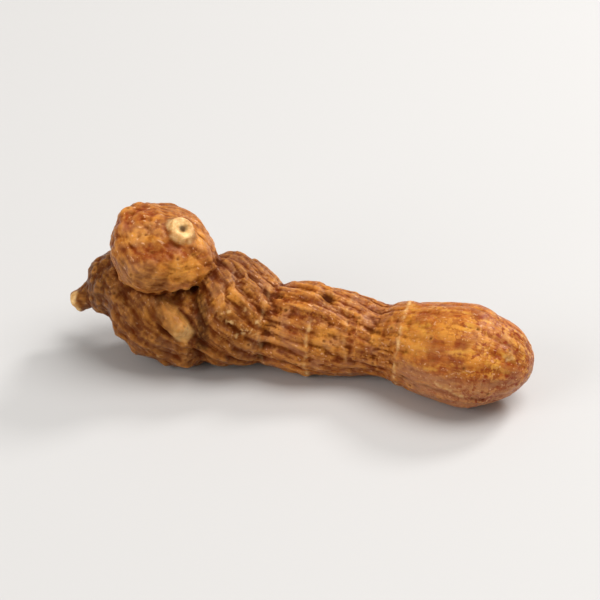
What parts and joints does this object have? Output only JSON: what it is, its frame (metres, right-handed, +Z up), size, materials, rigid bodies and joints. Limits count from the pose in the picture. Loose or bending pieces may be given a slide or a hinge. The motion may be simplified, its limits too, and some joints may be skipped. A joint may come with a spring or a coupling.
{
  "type": "dried solomons seal root",
  "caption": "Dried knobbly rhizome with a ridged body, a blunt growing tip, a swollen old head and a shoot base that bears a round stem scar.",
  "frame": {"origin": "on the surface that the root lies on, under the middle of its box", "axes": "+X along the root towards its blunt growing tip, +Y away from the side that the stem scar faces, +Z up"},
  "size_m": [0.0722, 0.0236, 0.0246],
  "materials": {
    "dried_skin": "satin"
  },
  "bodies": {
    "root": {"solomons_seal_root": "dried_skin"}
  },
  "joints": []
}
